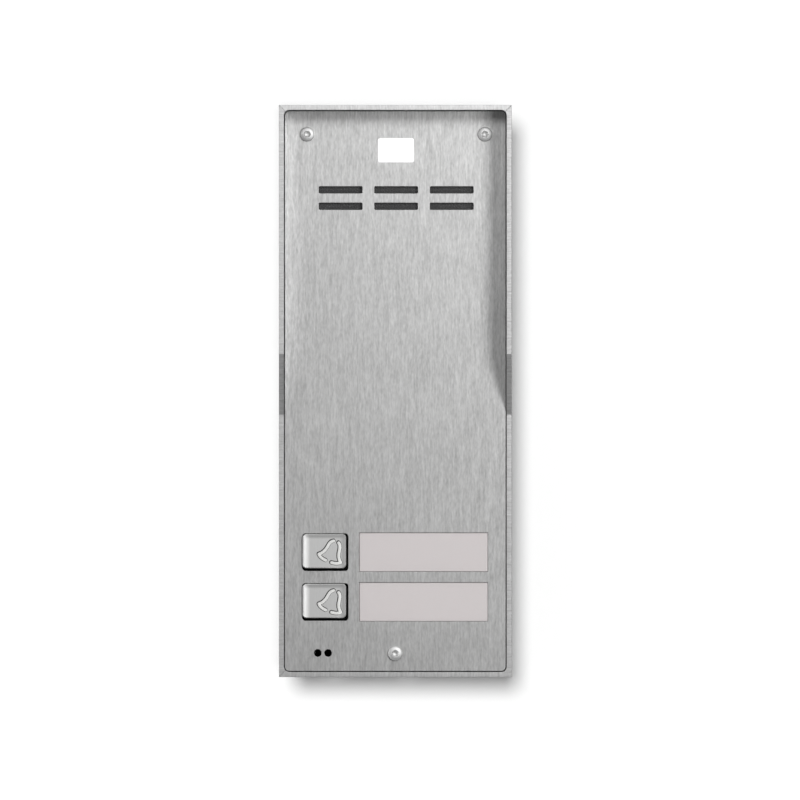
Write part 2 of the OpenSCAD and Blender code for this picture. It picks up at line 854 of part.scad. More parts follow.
// A trimmer's rotor, with a cross slot for a screwdriver.
module trimmer_rotor(z) {
    rear = board_rear - trimmer_h - rotor_proud;
    color("white") difference() {
        bar([trimmer_x, z], rotor_r, rear, rotor_h);
        block([trimmer_x, z], [slot_l, slot_t], rear - 1, 2);
        block([trimmer_x, z], [slot_t, slot_l], rear - 1, 2);
    }
}

socket_h = 5.8;

// Wire-to-board sockets: for the loudspeaker and the microphone.
module board_sockets() {
    color("ivory") {
        block([0, 35.5], [8, 5], board_rear - socket_h, socket_h);
        block([mic_x + 3, -93], [8, 5.8], board_rear - socket_h, socket_h);
    }
}

// A flat ribbon that bridges the gap between the boards, soldered to both.
module link_ribbon() {
    low = switch_board_z[1] - 2;
    high = main_board_z[0] + 2;
    color("gray") translate([ribbon_x, -board_rear, 0]) {
        for (z = [high - 1, low]) translate([0, 0, z]) cube([ribbon_w, ribbon_lift, 1]);
        translate([0, ribbon_lift, low]) cube([ribbon_w, ribbon_t, high - low]);
    }
}

back_plate();
left_side();
right_side();
hood_top();
bottom_wall();
seal_ledge();
face_gasket();
faceplate();
panel_posts();
panel_screws();
faceplate_studs();
grille_cloth();
speaker_seal();
speaker_basket();
speaker_magnet();
speaker_yoke();
speaker_voice_coil();
speaker_cone();
speaker_dust_cap();
speaker_terminal();
speaker_clamps();
speaker_clamp_nuts();
speaker_leads();
microphone_boot();
microphone_capsule();
microphone_leads();
button_guide();
window_lens(rows[0]);  // window_lens_upper
window_lens(rows[1]);  // window_lens_lower
name_card(rows[0]);  // name_card_upper
name_card(rows[1]);  // name_card_lower
light_box();
switch_board();
backlight_leds();
key_switch_bodies();
board_spacers();
board_nuts();
main_board();
terminal_block();
terminal_screws();
capacitors();
line_transformer();
board_chips();
trimmer_bodies();
board_sockets();
link_ribbon();
cable_grommet();
call_button(rows[0]);  // call_button_upper
call_button(rows[1]);  // call_button_lower
bell_insert(rows[0]);  // bell_insert_upper
bell_insert(rows[1]);  // bell_insert_lower
key_plunger(rows[0]);  // key_plunger_upper
key_plunger(rows[1]);  // key_plunger_lower
button_spring(rows[0]);  // button_spring_upper
button_spring(rows[1]);  // button_spring_lower
trimmer_rotor(volume_z);  // volume_trimmer
trimmer_rotor(microphone_z);  // microphone_trimmer
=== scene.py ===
"""Dresses the door intercom panel: finishes, softened edges, small parts, lights and camera.

The panel hangs on a wall. Millimetres are used in names that end in _mm and in the sizes of the
classes below, and MM turns them into the scene's metres. +Z is up and the front looks towards -Y.
"""

import json
import logging
from dataclasses import dataclass
from enum import Enum
from math import cos, pi, radians, sin, sqrt, tan
from typing import Any, Sequence

import bmesh
import bpy
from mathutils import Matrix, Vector

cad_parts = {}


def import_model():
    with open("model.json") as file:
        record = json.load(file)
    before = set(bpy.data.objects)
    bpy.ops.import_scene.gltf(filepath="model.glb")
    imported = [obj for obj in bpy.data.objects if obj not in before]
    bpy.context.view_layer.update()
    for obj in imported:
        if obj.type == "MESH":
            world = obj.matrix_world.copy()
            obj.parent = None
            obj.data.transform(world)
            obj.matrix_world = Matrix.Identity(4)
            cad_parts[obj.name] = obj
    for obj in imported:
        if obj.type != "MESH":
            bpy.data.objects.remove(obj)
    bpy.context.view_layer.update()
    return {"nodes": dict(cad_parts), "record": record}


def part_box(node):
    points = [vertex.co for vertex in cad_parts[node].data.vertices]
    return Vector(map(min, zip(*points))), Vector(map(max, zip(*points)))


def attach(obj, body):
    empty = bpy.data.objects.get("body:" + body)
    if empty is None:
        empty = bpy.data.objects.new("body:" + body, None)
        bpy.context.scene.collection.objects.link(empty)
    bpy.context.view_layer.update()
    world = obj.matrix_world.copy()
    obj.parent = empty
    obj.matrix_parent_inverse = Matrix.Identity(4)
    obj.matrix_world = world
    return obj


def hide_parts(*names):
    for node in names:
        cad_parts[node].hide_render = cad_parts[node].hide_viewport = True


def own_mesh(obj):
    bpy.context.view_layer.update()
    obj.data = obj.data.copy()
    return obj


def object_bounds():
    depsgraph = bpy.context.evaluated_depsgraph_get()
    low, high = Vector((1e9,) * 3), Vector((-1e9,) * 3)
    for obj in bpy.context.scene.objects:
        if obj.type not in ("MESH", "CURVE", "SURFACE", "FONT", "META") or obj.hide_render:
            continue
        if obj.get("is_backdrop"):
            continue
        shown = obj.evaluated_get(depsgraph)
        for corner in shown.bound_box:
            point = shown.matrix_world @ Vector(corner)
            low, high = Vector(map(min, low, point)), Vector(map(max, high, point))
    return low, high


LOG = logging.getLogger("intercom_panel")
MM = 0.001
JOIN_MM = 0.0005
FLAT_DEG = 0.5
SHARP_DEG = 32.0
LOFT_SHARP_DEG = 38.0

Pair = tuple[float, float]
Colour = tuple[float, float, float]
Size3 = tuple[float, float, float]
Ring = list[Vector]
Socket = bpy.types.NodeSocket
Material = bpy.types.Material
Piece = bpy.types.Object
Form = bmesh.types.BMesh


# ---- Node trees ----


class Wiring:
    """A node tree of any kind, built node by node."""

    def __init__(self, tree: bpy.types.NodeTree) -> None:
        """Empties the tree that is to be filled."""
        self.tree = tree
        self.tree.nodes.clear()

    def add(self, kind: str, inputs: dict[str | int, Any] | None = None, **settings: Any) -> bpy.types.Node:
        """Adds a node.

        Args:
            kind: The node's type name.
            inputs: A value or a socket for each input, by name or by number.
            settings: The node's own options, set before its inputs.

        Returns:
            The new node.
        """
        node = self.tree.nodes.new(kind)
        for key, value in settings.items():
            setattr(node, key, value)
        for key, value in (inputs or {}).items():
            self.feed(node.inputs[key], value)
        return node

    def feed(self, socket: Socket, value: Any) -> None:
        """Links a socket to another one, or gives it a plain value."""
        if isinstance(value, Socket):
            self.tree.links.new(value, socket)
        else:
            socket.default_value = value

    def calc(self, operation: str, first: Any, second: Any = 0.0) -> Socket:
        """The result of a Math node."""
        return self.add("ShaderNodeMath", {0: first, 1: second}, operation=operation).outputs[0]

    def total(self, parts: Sequence[Socket]) -> Socket:
        """The sum of several values."""
        result = parts[0]
        for part in parts[1:]:
            result = self.calc("ADD", result, part)
        return result

    def split(self, vector: Any) -> bpy.types.bpy_prop_collection:
        """The X, Y and Z of a vector."""
        return self.add("ShaderNodeSeparateXYZ", {0: vector}).outputs


class Shader(Wiring):
    """A material's nodes round one Principled shader, with patterns in the piece's own place."""

    def __init__(self, name: str) -> None:
        """Makes the material.

        Args:
            name: The material's name.
        """
        self.material = bpy.data.materials.new(name)
        self.material.use_nodes = True
        super().__init__(self.material.node_tree)
        self.surface = self.add("ShaderNodeBsdfPrincipled")
        self.output = self.add("ShaderNodeOutputMaterial", {"Surface": self.surface.outputs[0]})

    def set(self, **sockets: Any) -> None:
        """Sets the shader's sockets: Base_Color stands for Base Color, and so on."""
        for key, value in sockets.items():
            self.feed(self.surface.inputs[key.replace("_", " ")], value)

    def place(self, grain_mm: Size3) -> Socket:
        """The piece's own coordinates, in units as long as the given millimetres."""
        own = self.add("ShaderNodeTexCoord").outputs["Object"]
        scale = [1 / (MM * size) for size in grain_mm]
        return self.add("ShaderNodeMapping", {"Vector": own, "Scale": scale}).outputs[0]

    def noise(self, vector: Socket, detail: float = 2.0) -> Socket:
        """A cloudy value from about 0.2 to 0.8, round 0.5."""
        node = self.add("ShaderNodeTexNoise", {"Vector": vector, "Scale": 1.0, "Detail": detail})
        return node.outputs[0]

    def speckle(self, size_mm: float, detail: float = 2.0) -> Socket:
        """Noise that is the same in every direction."""
        return self.noise(self.place((size_mm,) * 3), detail)

    def spread(self, value: Any, low: float, high: float, start: float = 0.0, end: float = 1.0) -> Any:
        """A value that runs from start to end, stretched to run from low to high."""
        node = self.add("ShaderNodeMapRange", {0: value, 1: start, 2: end, 3: low, 4: high})
        return node.outputs[0]

    def blend(self, factor: Any, first: Any, second: Any, kind: str = "RGBA") -> Any:
        """A mix of two colours, vectors or values.

        Args:
            factor: 0 for the first and 1 for the second.
            first: A colour, a vector, a value or a socket.
            second: The same for the other end.
            kind: RGBA, VECTOR or FLOAT.

        Returns:
            The socket with the mix.
        """
        a, b, out = {"FLOAT": (2, 3, 0), "VECTOR": (4, 5, 1), "RGBA": (6, 7, 2)}[kind]
        node = self.add("ShaderNodeMix", data_type=kind)
        for index, value in ((0, factor), (a, first), (b, second)):
            if kind == "RGBA" and isinstance(value, tuple):
                value = (*value, 1.0)
            self.feed(node.inputs[index], value)
        return node.outputs[out]

    def tinted(self, pattern: Any, colour: Colour, contrast: float) -> Any:
        """A colour that gets darker and lighter with a pattern, by the given share."""
        dark = tuple(max(0.0, c * (1 - contrast)) for c in colour)
        light = tuple(min(1.0, c * (1 + contrast)) for c in colour)
        return self.blend(pattern, dark, light)

    def bump(self, height: Any, depth_mm: float, strength: float = 1.0) -> None:
        """Roughens the surface with a pattern.

        Args:
            height: The pattern, from 0 to 1.
            depth_mm: How deep it is where the strength is 1.
            strength: The share of it that shows.
        """
        inputs = {"Height": height, "Distance": depth_mm * MM, "Strength": strength}
        self.set(Normal=self.add("ShaderNodeBump", inputs).outputs[0])


class Recipe(Wiring):
    """A Geometry Nodes tree with named sizes, run once and kept as a plain mesh."""

    def __init__(self, name: str) -> None:
        """Starts a tree with one geometry in and one out.

        Args:
            name: The name of the tree and of the piece.
        """
        self.name = name
        super().__init__(bpy.data.node_groups.new(name, "GeometryNodeTree"))
        for way in ("INPUT", "OUTPUT"):
            self.tree.interface.new_socket("Geometry", in_out=way, socket_type="NodeSocketGeometry")
        self.start = self.add("NodeGroupInput")
        self.end = self.add("NodeGroupOutput")
        self.values: dict[str, Any] = {}
        self.sizes: dict[str, Socket] = {}

    def size(self, name: str, value: Any, kind: str = "Float") -> Socket:
        """Adds a named input.

        Args:
            name: What the input is called.
            value: What the modifier sets it to.
            kind: Float, Int, Vector or Object.

        Returns:
            The socket inside the tree.
        """
        found = self.tree.interface.new_socket(name, in_out="INPUT", socket_type="NodeSocket" + kind)
        self.values[found.identifier] = value
        self.sizes[name] = self.start.outputs[name]
        return self.sizes[name]

    def vector(self, x: Any = 0.0, y: Any = 0.0, z: Any = 0.0) -> Socket:
        """A vector of three values."""
        return self.add("ShaderNodeCombineXYZ", {0: x, 1: y, 2: z}).outputs[0]

    def step(self, kind: str, inputs: dict[str, Any] | None = None) -> Socket:
        """The first output of a new geometry node, whose kind is given without its prefix."""
        return self.add("GeometryNode" + kind, inputs).outputs[0]

    def moved(self, geometry: Any, shift: Any = (0, 0, 0), turn: Any = (0, 0, 0)) -> Socket:
        """The geometry turned and then shifted."""
        return self.step("Transform", {"Geometry": geometry, "Translation": shift, "Rotation": turn})

    def tube(self, curve: Any, profile: Any) -> Socket:
        """A closed tube along a curve."""
        return self.step("CurveToMesh", {"Curve": curve, "Profile Curve": profile, "Fill Caps": True})

    def bake(self, geometry: Any, material: Material, seed: Sequence[Vector] = ()) -> Piece:
        """Ends the tree and runs it.

        Args:
            geometry: The socket that holds the finished shape.
            material: Its material.
            seed: Points that the tree's geometry input holds.

        Returns:
            A plain mesh object without modifiers.
        """
        real = self.step("RealizeInstances", {"Geometry": geometry})
        self.feed(self.end.inputs[0], self.step("SetMaterial", {"Geometry": real, "Material": material}))
        mesh = bpy.data.meshes.new(self.name)
        mesh.from_pydata([tuple(p) for p in seed], [], [])
        piece = linked(bpy.data.objects.new(self.name, mesh))
        modifier = piece.modifiers.new("made", "NODES")
        modifier.node_group = self.tree
        for identifier, value in self.values.items():
            modifier[identifier] = value
        return settled(piece)


# ---- Meshes ----


def linked(piece: Piece) -> Piece:
    """Puts an object in the scene and returns it."""
    bpy.context.scene.collection.objects.link(piece)
    return piece


def settled(piece: Piece) -> Piece:
    """Turns an object with modifiers into a plain mesh.

    Args:
        piece: The object, whose modifiers are all applied and removed.

    Returns:
        The same object.
    """
    bpy.context.view_layer.update()
    shown = piece.evaluated_get(bpy.context.evaluated_depsgraph_get())
    mesh = bpy.data.meshes.new_from_object(shown)
    piece.modifiers.clear()
    piece.data = mesh
    mesh.name = piece.name
    return piece


def copied(node: str) -> Form:
    """The form of a CAD node, with its corners joined."""
    form = bmesh.new()
    form.from_mesh(bpy.data.objects[node].data)
    bmesh.ops.remove_doubles(form, verts=form.verts, dist=JOIN_MM * MM)
    return form


def finished(form: Form, name: str, material: Material, sharp_deg: float | None = None) -> Piece:
    """Turns a form into an object with smooth shading.

    Args:
        form: The form, which is used up.
        name: The object's name.
        material: Its material.
        sharp_deg: The angle from which its edges are shaded as sharp, if any are.

    Returns:
        The new piece, which rides on nothing yet.
    """
    mesh = bpy.data.meshes.new(name)
    form.to_mesh(mesh)
    form.free()
    mesh.materials.append(material)
    mesh.shade_smooth()
    if sharp_deg is not None:
        mesh.set_sharp_from_angle(angle=radians(sharp_deg))
    return linked(bpy.data.objects.new(name, mesh))


def softened(node: str, name: str, material: Material, width_mm: float) -> Piece:
    """A copy of a CAD node whose edges are eased, as those of a real part are.

    Args:
        node: The CAD node.
        name: The new piece's name.
        material: Its material.
        width_mm: How far an edge is taken back.

    Returns:
        The new piece, which rides on nothing yet.
    """
    form = copied(node)
    flat = radians(FLAT_DEG)
    bmesh.ops.dissolve_limit(form, angle_limit=flat, verts=form.verts, edges=form.edges)
    piece = finished(form, name, material)
    edge = piece.modifiers.new("eased", "BEVEL")
    edge.width = width_mm * MM
    edge.segments = 3
    edge.limit_method = "ANGLE"
    edge.angle_limit = radians(SHARP_DEG)
    edge.use_clamp_overlap = False
    edge.loop_slide = False
    edge.miter_outer = "MITER_ARC"
    normals = piece.modifiers.new("flats", "WEIGHTED_NORMAL")
    normals.weight = 100
    normals.keep_sharp = True
    return settled(piece)


def lofted(name: str, rings: Sequence[Ring], material: Material, looped: bool = False) -> Piece:
    """A closed skin over rings of points.

    Args:
        name: The piece's name.
        rings: The rings in order, all with the same number of points.
        material: The piece's material.
        looped: True if the last ring joins the first, and False if both ends are capped.

    Returns:
        The new piece.
    """
    form = bmesh.new()
    made = [[form.verts.new(p) for p in ring] for ring in rings]
    pairs = list(zip(made, made[1:]))
    if looped:
        pairs.append((made[-1], made[0]))
    else:
        form.faces.new(made[0])
        form.faces.new(made[-1])
    for low, high in pairs:
        for i in range(len(low)):
            j = (i + 1) % len(low)
            form.faces.new((low[i], low[j], high[j], high[i]))
    bmesh.ops.recalc_face_normals(form, faces=form.faces)
    return finished(form, name, material, LOFT_SHARP_DEG)


def at_depth(outline: Sequence[Pair], depth_mm: float) -> Ring:
    """An outline of the front view, in millimetres, put at a depth in front of the wall."""
    return [Vector((x, -depth_mm, z)) * MM for x, z in outline]


def circle(radius: float, sides: int, centre: Pair = (0.0, 0.0)) -> list:
    """The outline of a circle in the front view, in millimetres."""
    angles = [2 * pi / sides * i for i in range(sides)]
    return [(centre[0] + radius * cos(a), centre[1] + radius * sin(a)) for a in angles]


def rounded(width: float, height: float, radius: float, centre: Pair) -> list:
    """The outline of a rectangle with round corners.

    Args:
        width: Its width in millimetres.
        height: Its height.
        radius: The radius of its corners.
        centre: The X and Z of its middle.

    Returns:
        Its points, eight for each corner.
    """
    points = []
    for quarter in range(4):
        sx = 1 if quarter in (0, 3) else -1
        sz = 1 if quarter in (0, 1) else -1
        for step in range(8):
            angle = radians(90 * quarter + 90 * step / 7)
            x = sx * (width / 2 - radius) + radius * cos(angle)
            z = sz * (height / 2 - radius) + radius * sin(angle)
            points.append((centre[0] + x, centre[1] + z))
    return points


def mounted(piece: Piece, body: str, slot: str, *nodes: str) -> None:
    """Hands a finished piece to the frame.

    Args:
        piece: The piece, with its place in its mesh.
        body: The body that it rides on.
        slot: Not used.
        nodes: The CAD nodes that it stands for.
    """
    if nodes:
        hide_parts(*nodes)
    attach(piece, body)
    LOG.info("%s rides on %s, %d faces", piece.name, body, len(piece.data.polygons))


# ---- Finishes ----


@dataclass(frozen=True)
class Finish:
    """What every finish has: a name, and a way to make its material once."""

    name: str

    def material(self) -> Material:
        """The finished material, made on first use."""
        found = bpy.data.materials.get(self.name)
        if found is None:
            shader = Shader(self.name)
            self.paint(shader)
            found = shader.material
        return found

    def paint(self, shader: Shader) -> None:
        """Fills in the material's nodes."""
        raise NotImplementedError


class Stroke(Enum):
    """A direction of brushing: the axis that the tangent turns round."""

    UPRIGHT = "Z"
    ACROSS = "X"

    def stretch(self, thin: float, long: float) -> Size3:
        """The size of a brush mark along each axis."""
        return (thin, thin, long) if self is Stroke.UPRIGHT else (long, thin, thin)


class Grain(Enum):
    """How a part was brushed: on the faces that look forwards, and on the others."""

    PLATE = (Stroke.UPRIGHT, Stroke.UPRIGHT)
    SIDE_WALL = (Stroke.ACROSS, Stroke.UPRIGHT)
    CROSS_WALL = (Stroke.UPRIGHT, Stroke.ACROSS)


@dataclass(frozen=True)
class BrushedSteel(Finish):
    """Stainless steel with fine brush marks, which spread its reflections across the grain."""

    grain: Grain = Grain.PLATE
    colour: Colour = (0.60, 0.60, 0.597)
    contrast: float = 0.60
    roughness: float = 0.45
    flank_roughness: float = 0.45
    anisotropy: float = 0.4
    marks_mm: tuple[tuple[float, float, float], ...] = (
        (0.6, 2.0, 0.44),
        (0.75, 8.0, 0.40),
        (4.0, 20.0, 0.16),
    )

    def paint(self, shader: Shader) -> None:
        """Lays three sizes of brush mark over each other.

        Args:
            shader: The new material.
        """
        normal = shader.split(shader.add("ShaderNodeNewGeometry").outputs["True Normal"])
        forward = shader.calc("GREATER_THAN", shader.calc("ABSOLUTE", normal[1]), 0.5)
        front, rest = self.grain.value
        layers = []
        for thin, long, share in self.marks_mm:
            where = shader.blend(
                forward,
                shader.place(rest.stretch(thin, long)),
                shader.place(front.stretch(thin, long)),
                "VECTOR",
            )
            layers.append(shader.calc("MULTIPLY", shader.noise(where), share))
        marks = shader.total(layers)
        turns = [
            shader.add("ShaderNodeTangent", direction_type="RADIAL", axis=stroke.value).outputs[0]
            for stroke in (rest, front)
        ]
        dullness = shader.blend(forward, self.flank_roughness, self.roughness, "FLOAT")
        shader.set(
            Base_Color=shader.tinted(marks, self.colour, self.contrast),
            Metallic=1.0,
            Roughness=shader.calc("ADD", dullness, shader.spread(marks, 0.06, -0.06)),
            Anisotropic=self.anisotropy,
            Tangent=shader.blend(forward, turns[0], turns[1], "VECTOR"),
        )
        shader.bump(marks, 0.012, 0.5)


@dataclass(frozen=True)
class Metal(Finish):
    """Plain metal, turned or plated, with faint mottling."""

    colour: Colour = (0.6, 0.6, 0.6)
    roughness: float = 0.3
    speckle_mm: float = 0.6

    def paint(self, shader: Shader) -> None:
        """Mottles the colour and the gloss.

        Args:
            shader: The new material.
        """
        cloud = shader.speckle(self.speckle_mm, 3.0)
        shader.set(
            Base_Color=shader.tinted(cloud, self.colour, 0.1),
            Metallic=1.0,
            Roughness=shader.spread(cloud, self.roughness - 0.08, self.roughness + 0.08),
        )
        shader.bump(cloud, 0.01, 0.4)


@dataclass(frozen=True)
class Moulded(Finish):
    """Plastic, rubber, paper or resin: a soft colour with a fine raised texture."""

    colour: Colour = (0.1, 0.1, 0.1)
    roughness: float = 0.5
    texture_mm: float = 0.3
    depth_mm: float = 0.02
    contrast: float = 0.08
    sheen: float = 0.0
    gloss: float = 0.5

    def paint(self, shader: Shader) -> None:
        """Adds the texture, and slow changes of colour over the piece.

        Args:
            shader: The new material.
        """
        texture = shader.speckle(self.texture_mm, 3.0)
        drift = shader.speckle(self.texture_mm * 25)
        mixed = shader.blend(0.5, texture, drift, "FLOAT")
        shader.set(
            Base_Color=shader.tinted(mixed, self.colour, self.contrast),
            Roughness=shader.spread(texture, self.roughness - 0.06, self.roughness + 0.06),
            Sheen_Weight=self.sheen,
            Specular_IOR_Level=self.gloss,
        )
        shader.bump(texture, self.depth_mm, 0.6)


@dataclass(frozen=True)
class Striped(Moulded):
    """Moulded material with stripes along one axis, such as a ribbon's cores or wound tape."""

    pitch_mm: float = 1.27
    axis: str = "X"
    second: Colour = (0.3, 0.3, 0.3)

    def paint(self, shader: Shader) -> None:
        """Draws the stripes over the plain finish.

        Args:
            shader: The new material.
        """
        super().paint(shader)
        own = shader.split(shader.place((self.pitch_mm,) * 3))["XYZ".index(self.axis)]
        wave = shader.calc("SINE", shader.calc("MULTIPLY", own, 2 * pi))
        bands = shader.spread(wave, 0.0, 1.0, -0.4, 0.4)
        shader.set(Base_Color=shader.blend(bands, self.second, self.colour))
        shader.bump(bands, 0.05, 0.5)


@dataclass(frozen=True)
class CircuitBoard(Finish):
    """Green solder mask over copper tracks."""

    mask: Colour = (0.012, 0.10, 0.035)
    track: Colour = (0.03, 0.19, 0.07)
    pitch_mm: float = 2.54

    def paint(self, shader: Shader) -> None:
        """Lays tracks on the board's grid, with the mask's gloss over them.

        Args:
            shader: The new material.
        """
        cells = shader.add(
            "ShaderNodeTexVoronoi",
            {"Vector": shader.place((self.pitch_mm,) * 3), "Scale": 1.0, "Randomness": 0.25},
            distance="CHEBYCHEV",
        )
        tracks = shader.spread(cells.outputs[0], 0.0, 1.0, 0.42, 0.46)
        shader.set(
            Base_Color=shader.blend(tracks, self.track, self.mask),
            Roughness=shader.spread(shader.speckle(0.8), 0.25, 0.4),
            Coat_Weight=0.4,
        )
        shader.bump(tracks, 0.04, 0.5)


@dataclass(frozen=True)
class FrostedLens(Finish):
    """A clear window with a frosted back over a pale name card."""

    colour: Colour = (0.80, 0.75, 0.75)
    roughness: float = 0.42

    def paint(self, shader: Shader) -> None:
        """Frosts the surface.

        Args:
            shader: The new material.
        """
        frost = shader.speckle(0.25, 4.0)
        shader.set(
            Base_Color=shader.tinted(frost, self.colour, 0.03),
            Roughness=shader.spread(frost, self.roughness - 0.05, self.roughness + 0.05),
            Specular_IOR_Level=0.35,
            Coat_Weight=0.15,
            Coat_Roughness=0.3,
        )
        shader.bump(frost, 0.006, 0.4)


@dataclass(frozen=True)
class LitOpal(Finish):
    """Opal acrylic, lit from behind. Only its raised strokes glow: the rest is painted black, which also
    paints the shade in the gaps round the strokes.
    """

    glow: Colour = (0.86, 0.86, 0.84)
    black_mask_and_gap_shade: Colour = (0.01, 0.01, 0.01)
    lit: Colour = (0.75, 0.75, 0.74)
    strength: float = 0.28
    lit_from_depth_mm: float = 28.85
    blur_mm: float = 0.15

    def paint(self, shader: Shader) -> None:
        """Lights the front of the strokes.

        Args:
            shader: The new material.
        """
        depth = shader.split(shader.place((1.0,) * 3))[1]
        edge = -self.lit_from_depth_mm
        lit = shader.spread(depth, 1.0, 0.0, edge - self.blur_mm, edge + self.blur_mm)
        cloud = shader.speckle(1.2, 3.0)
        white = shader.tinted(cloud, self.glow, 0.05)
        shader.set(
            # Painted shade: the near-black base off the strokes darkens the gaps round them.
            Base_Color=shader.blend(lit, self.black_mask_and_gap_shade, self.lit),
            Emission_Color=shader.blend(lit, (0.0, 0.0, 0.0), white),
            Emission_Strength=self.strength,
            Roughness=shader.spread(cloud, 0.3, 0.4),
        )
        shader.bump(cloud, 0.01, 0.3)


@dataclass(frozen=True)
class PaintedGlowEnamel(Finish):
    """White enamel with a hint of orange peel, and a faint painted glow though it holds no lamp."""

    colour: Colour = (0.93, 0.93, 0.925)
    # The strength of the painted glow.
    glow: float = 0.5

    def paint(self, shader: Shader) -> None:
        """Glazes the surface and paints its glow.

        Args:
            shader: The new material.
        """
        peel = shader.speckle(1.6, 1.0)
        shader.set(
            Base_Color=shader.tinted(peel, self.colour, 0.02),
            # Painted glow: emission lifts the plate towards white, though no lamp lies behind it.
            Emission_Color=(1.0, 1.0, 1.0, 1.0),
            Emission_Strength=self.glow,
            Roughness=shader.spread(peel, 0.2, 0.3),
            Coat_Weight=0.5,
            Coat_Roughness=0.08,
        )
        shader.bump(peel, 0.015, 0.3)


class Steel:
    """The brushed steels of the panel's visible parts. The side and cross walls take lighter copies of the
    housing's steel, which is painted light.
    """

    PLATE = BrushedSteel("brushed_faceplate")
    # Painted light: the side walls' steel is lighter than the back's, and the top and bottom walls' lighter
    # still, for how light falls on the rims.
    SIDE_PAINTED_LIGHTER = BrushedSteel("brushed_side_wall", Grain.SIDE_WALL, (0.68, 0.68, 0.677), flank_roughness=0.34)
    CROSS_PAINTED_LIGHTER = BrushedSteel("brushed_cross_wall", Grain.CROSS_WALL, (0.77, 0.77, 0.767))
    BACK = BrushedSteel("satin_back", anisotropy=0.3)
    BUTTON = BrushedSteel("satin_button", colour=(0.76, 0.76, 0.755), contrast=0.1, anisotropy=0.0)
    SCREW = Metal("screw_head", (0.94, 0.94, 0.93), 0.54, 0.5)


# Near-black foam: a real seal and felt, whose black also paints the shade in the gaps and holes round them.
GAP_SHADE_FOAM = Moulded("dark_foam", (0.004, 0.004, 0.004), 0.95, 0.12, 0.06, gloss=0.08)

SLOT_FINISHES: dict[str, Finish] = {
    "housing_steel": Steel.BACK,
    "faceplate_steel": Steel.PLATE,
    "button_steel": Steel.BUTTON,
    "screw_steel": Steel.SCREW,
    "zinc_steel": Metal("zinc_plated", (0.55, 0.57, 0.58), 0.32, 0.8),
    "gasket_rubber": Moulded("gasket_foam", (0.03, 0.03, 0.031), 0.85, 0.25, 0.05, sheen=0.2),
    "black_rubber": Moulded("black_rubber", (0.018, 0.018, 0.018), 0.62, 0.4),
    "grille_fabric": Moulded("grille_thread", (0.10, 0.10, 0.101), 0.8, 0.1, 0.01, sheen=0.3),
    "basket_steel": Metal("pressed_basket", (0.38, 0.39, 0.41), 0.42, 1.0),
    "ferrite": Moulded("ferrite", (0.05, 0.05, 0.053), 0.5, 0.5, 0.03),
    "copper_coil": Striped(
        "wound_copper", (0.55, 0.22, 0.08), 0.3, pitch_mm=0.25, axis="Y", second=(0.3, 0.1, 0.03)
    ),
    "paper_cone": Moulded("paper_cone", (0.035, 0.034, 0.033), 0.85, 0.35, 0.06),
    "tag_board": Moulded("tag_board", (0.30, 0.19, 0.09), 0.6, 0.5, 0.02, 0.2),
    "red_wire": Moulded("red_sleeve", (0.45, 0.02, 0.015), 0.38, 0.5, 0.01),
    "blue_wire": Moulded("blue_sleeve", (0.02, 0.07, 0.40), 0.38, 0.5, 0.01),
    "capsule_metal": Metal("capsule_shell", (0.62, 0.62, 0.62), 0.28, 0.5),
    "black_plastic": Moulded("black_moulding", (0.02, 0.02, 0.021), 0.45, 0.35),
    "white_plastic": Moulded("white_moulding", (0.80, 0.80, 0.78), 0.45, 0.35),
    "frosted_lens": FrostedLens("frosted_window"),
    "name_paper": Moulded("name_card", (0.78, 0.76, 0.75), 0.8, 0.2, 0.01, 0.04),
    "circuit_board": CircuitBoard("circuit_board"),
    "led_resin": Moulded("lamp_resin", (0.82, 0.78, 0.50), 0.25, 0.6, 0.01),
    "switch_plastic": Moulded("switch_moulding", (0.03, 0.03, 0.03), 0.4),
    "brass_spacer": Metal("turned_brass", (0.72, 0.50, 0.20), 0.25, 0.6),
    "green_terminal": Moulded("green_moulding", (0.01, 0.20, 0.07), 0.42, 0.4),
    "terminal_steel": Metal("terminal_screw", (0.60, 0.60, 0.60), 0.28, 0.5),
    "capacitor_sleeve": Striped(
        "capacitor_sleeve", (0.02, 0.03, 0.16), 0.3, pitch_mm=10.0, second=(0.5, 0.5, 0.55)
    ),
    "transformer_tape": Striped(
        "transformer_tape", (0.60, 0.42, 0.10), 0.35, pitch_mm=3.0, axis="Y", second=(0.5, 0.33, 0.07)
    ),
    "chip_resin": Moulded("chip_resin", (0.015, 0.015, 0.016), 0.55, 0.15, 0.01),
    "trimmer_blue": Moulded("trimmer_case", (0.02, 0.12, 0.48), 0.4, 0.3, 0.01),
    "socket_nylon": Moulded("socket_nylon", (0.78, 0.76, 0.68), 0.4, 0.4),
    "ribbon_grey": Striped("ribbon_cable", (0.42, 0.42, 0.42), 0.45),
    "opal_acrylic": LitOpal("lit_opal"),
    "spring_wire": Metal("spring_wire", (0.50, 0.51, 0.52), 0.25, 0.4),
}


# ---- Sub-assemblies ----


@dataclass
class Housing:
    """The welded steel housing with its rain hood."""

    body: str = "panel"
    slot: str = "housing_steel"
    edge_mm: float = 0.14

    def build(self) -> None:
        """Eases the edges of the four walls and the back."""
        # The side, top and bottom walls get the lighter, painted-light copies of the steel.
        walls = {
            "left_side": Steel.SIDE_PAINTED_LIGHTER,
            "right_side": Steel.SIDE_PAINTED_LIGHTER,
            "hood_top": Steel.CROSS_PAINTED_LIGHTER,
            "bottom_wall": Steel.CROSS_PAINTED_LIGHTER,
            "back_plate": Steel.BACK,
        }
        for node, steel in walls.items():
            piece = softened(node, node + "_skin", steel.material(), self.edge_mm)
            mounted(piece, self.body, self.slot, node)


